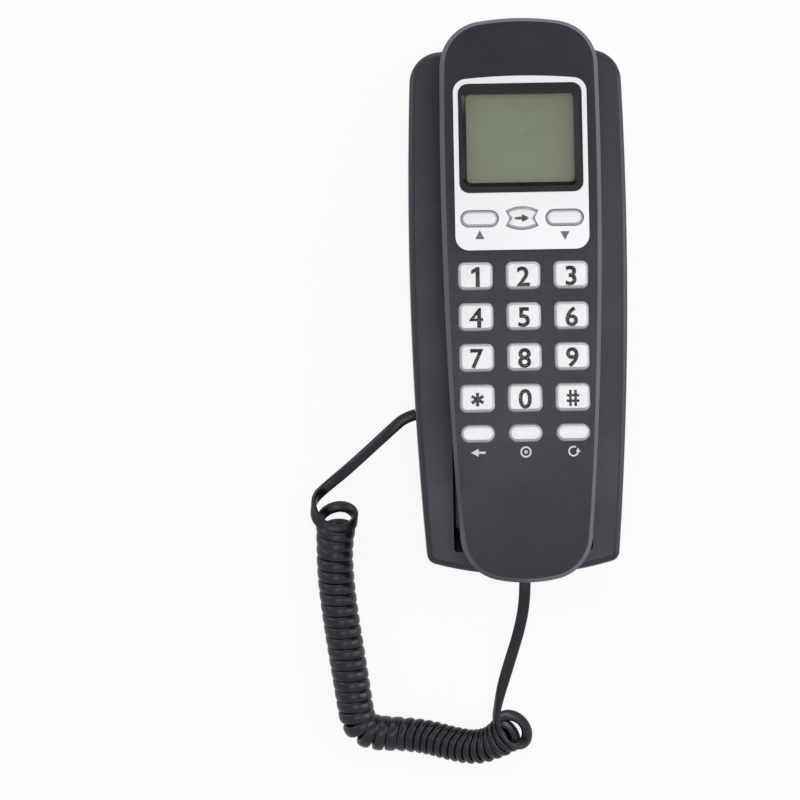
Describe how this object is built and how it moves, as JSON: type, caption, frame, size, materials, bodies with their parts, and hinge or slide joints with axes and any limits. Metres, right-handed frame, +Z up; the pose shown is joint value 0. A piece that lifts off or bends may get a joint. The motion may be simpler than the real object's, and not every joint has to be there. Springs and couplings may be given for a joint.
{
  "type": "corded landline phone",
  "caption": "Slim corded phone: a keypad handset with display lying in a desk or wall base, joined by a curly cord.",
  "frame": {"origin": "centre of the phone's footprint, on the surface under the rubber feet", "axes": "+X right, +Y towards the earpiece end, +Z up out of the keypad"},
  "size_m": [0.1216, 0.2854, 0.0565],
  "materials": {
    "black_plastic": "satin moulded",
    "gloss_black": "gloss",
    "silver_panel": "fine metallic paint",
    "clear_key": "clear gloss over white",
    "clear_lens": "clear",
    "lcd": "grey-green, satin",
    "white_plastic": "satin",
    "silicone": "matt",
    "circuit_board": "solder mask",
    "steel": "plated",
    "rubber": "matt",
    "foam": "matt",
    "cord": "satin vinyl",
    "clear_plug": "clear"
  },
  "bodies": {
    "base": {"base_bottom_cover": "black_plastic", "base_circuit_board": "circuit_board", "base_cover": "black_plastic", "base_screws": "steel", "cord_coil": "cord", "cord_plug_base": "clear_plug", "cord_tail_base": "cord", "cord_tail_handset": "cord", "handset_cord_jack": "gloss_black", "hook_spring": "steel", "hook_switch": "gloss_black", "line_jack": "gloss_black", "ringer_buzzer": "gloss_black", "rubber_feet": "rubber"},
    "handset": {"handset_front_cover": "black_plastic", "handset_rear_cover": "black_plastic", "display_panel": "silver_panel", "display_bezel": "gloss_black", "display_lens": "clear_lens", "lcd_glass": "lcd", "lcd_holder": "white_plastic", "main_circuit_board": "circuit_board", "keypad_mat": "silicone", "earpiece_speaker": "steel", "speaker_gasket": "foam", "microphone": "steel", "microphone_boot": "rubber", "handset_jack": "gloss_black", "handset_screws": "steel", "cord_plug_handset": "clear_plug"},
    "hook_plunger": {"hook_plunger": "black_plastic"},
    "key_0": {"key_0": "clear_key"},
    "key_1": {"key_1": "clear_key"},
    "key_2": {"key_2": "clear_key"},
    "key_3": {"key_3": "clear_key"},
    "key_4": {"key_4": "clear_key"},
    "key_5": {"key_5": "clear_key"},
    "key_6": {"key_6": "clear_key"},
    "key_7": {"key_7": "clear_key"},
    "key_8": {"key_8": "clear_key"},
    "key_9": {"key_9": "clear_key"},
    "key_delete": {"key_delete": "clear_key"},
    "key_down": {"key_down": "clear_key"},
    "key_hash": {"key_hash": "clear_key"},
    "key_out": {"key_out": "clear_key"},
    "key_redial": {"key_redial": "clear_key"},
    "key_set": {"key_set": "clear_key"},
    "key_star": {"key_star": "clear_key"},
    "key_up": {"key_up": "clear_key"}
  },
  "joints": [
    {"name": "handset_lift", "type": "slide", "parent": "base", "child": "handset", "axis": [0, 0, 1], "range_m": [0, 0.1], "deforming": ["cord_tail_handset"]},
    {"name": "hook_slide", "type": "slide", "parent": "base", "child": "hook_plunger", "axis": [0, 0, 1], "range_m": [0, 0.0035], "deforming": ["hook_spring"]},
    {"name": "key_0_press", "type": "slide", "parent": "handset", "child": "key_0", "axis": [0, 0, -1], "range_m": [0, 0.001], "stiffness_N_per_m": 400, "springref_m": -0.0005},
    {"name": "key_1_press", "type": "slide", "parent": "handset", "child": "key_1", "axis": [0, 0, -1], "range_m": [0, 0.001], "stiffness_N_per_m": 400, "springref_m": -0.0005},
    {"name": "key_2_press", "type": "slide", "parent": "handset", "child": "key_2", "axis": [0, 0, -1], "range_m": [0, 0.001], "stiffness_N_per_m": 400, "springref_m": -0.0005},
    {"name": "key_3_press", "type": "slide", "parent": "handset", "child": "key_3", "axis": [0, 0, -1], "range_m": [0, 0.001], "stiffness_N_per_m": 400, "springref_m": -0.0005},
    {"name": "key_4_press", "type": "slide", "parent": "handset", "child": "key_4", "axis": [0, 0, -1], "range_m": [0, 0.001], "stiffness_N_per_m": 400, "springref_m": -0.0005},
    {"name": "key_5_press", "type": "slide", "parent": "handset", "child": "key_5", "axis": [0, 0, -1], "range_m": [0, 0.001], "stiffness_N_per_m": 400, "springref_m": -0.0005},
    {"name": "key_6_press", "type": "slide", "parent": "handset", "child": "key_6", "axis": [0, 0, -1], "range_m": [0, 0.001], "stiffness_N_per_m": 400, "springref_m": -0.0005},
    {"name": "key_7_press", "type": "slide", "parent": "handset", "child": "key_7", "axis": [0, 0, -1], "range_m": [0, 0.001], "stiffness_N_per_m": 400, "springref_m": -0.0005},
    {"name": "key_8_press", "type": "slide", "parent": "handset", "child": "key_8", "axis": [0, 0, -1], "range_m": [0, 0.001], "stiffness_N_per_m": 400, "springref_m": -0.0005},
    {"name": "key_9_press", "type": "slide", "parent": "handset", "child": "key_9", "axis": [0, 0, -1], "range_m": [0, 0.001], "stiffness_N_per_m": 400, "springref_m": -0.0005},
    {"name": "key_delete_press", "type": "slide", "parent": "handset", "child": "key_delete", "axis": [0, 0, -1], "range_m": [0, 0.001], "stiffness_N_per_m": 400, "springref_m": -0.0005},
    {"name": "key_down_press", "type": "slide", "parent": "handset", "child": "key_down", "axis": [0, 0, -1], "range_m": [0, 0.001], "stiffness_N_per_m": 400, "springref_m": -0.0005},
    {"name": "key_hash_press", "type": "slide", "parent": "handset", "child": "key_hash", "axis": [0, 0, -1], "range_m": [0, 0.001], "stiffness_N_per_m": 400, "springref_m": -0.0005},
    {"name": "key_out_press", "type": "slide", "parent": "handset", "child": "key_out", "axis": [0, 0, -1], "range_m": [0, 0.001], "stiffness_N_per_m": 400, "springref_m": -0.0005},
    {"name": "key_redial_press", "type": "slide", "parent": "handset", "child": "key_redial", "axis": [0, 0, -1], "range_m": [0, 0.001], "stiffness_N_per_m": 400, "springref_m": -0.0005},
    {"name": "key_set_press", "type": "slide", "parent": "handset", "child": "key_set", "axis": [0, 0, -1], "range_m": [0, 0.001], "stiffness_N_per_m": 400, "springref_m": -0.0005},
    {"name": "key_star_press", "type": "slide", "parent": "handset", "child": "key_star", "axis": [0, 0, -1], "range_m": [0, 0.001], "stiffness_N_per_m": 400, "springref_m": -0.0005},
    {"name": "key_up_press", "type": "slide", "parent": "handset", "child": "key_up", "axis": [0, 0, -1], "range_m": [0, 0.001], "stiffness_N_per_m": 400, "springref_m": -0.0005}
  ],
  "couplings": [
    {"joint": "hook_slide", "follows": "handset_lift", "ratio": 0.035}
  ]
}
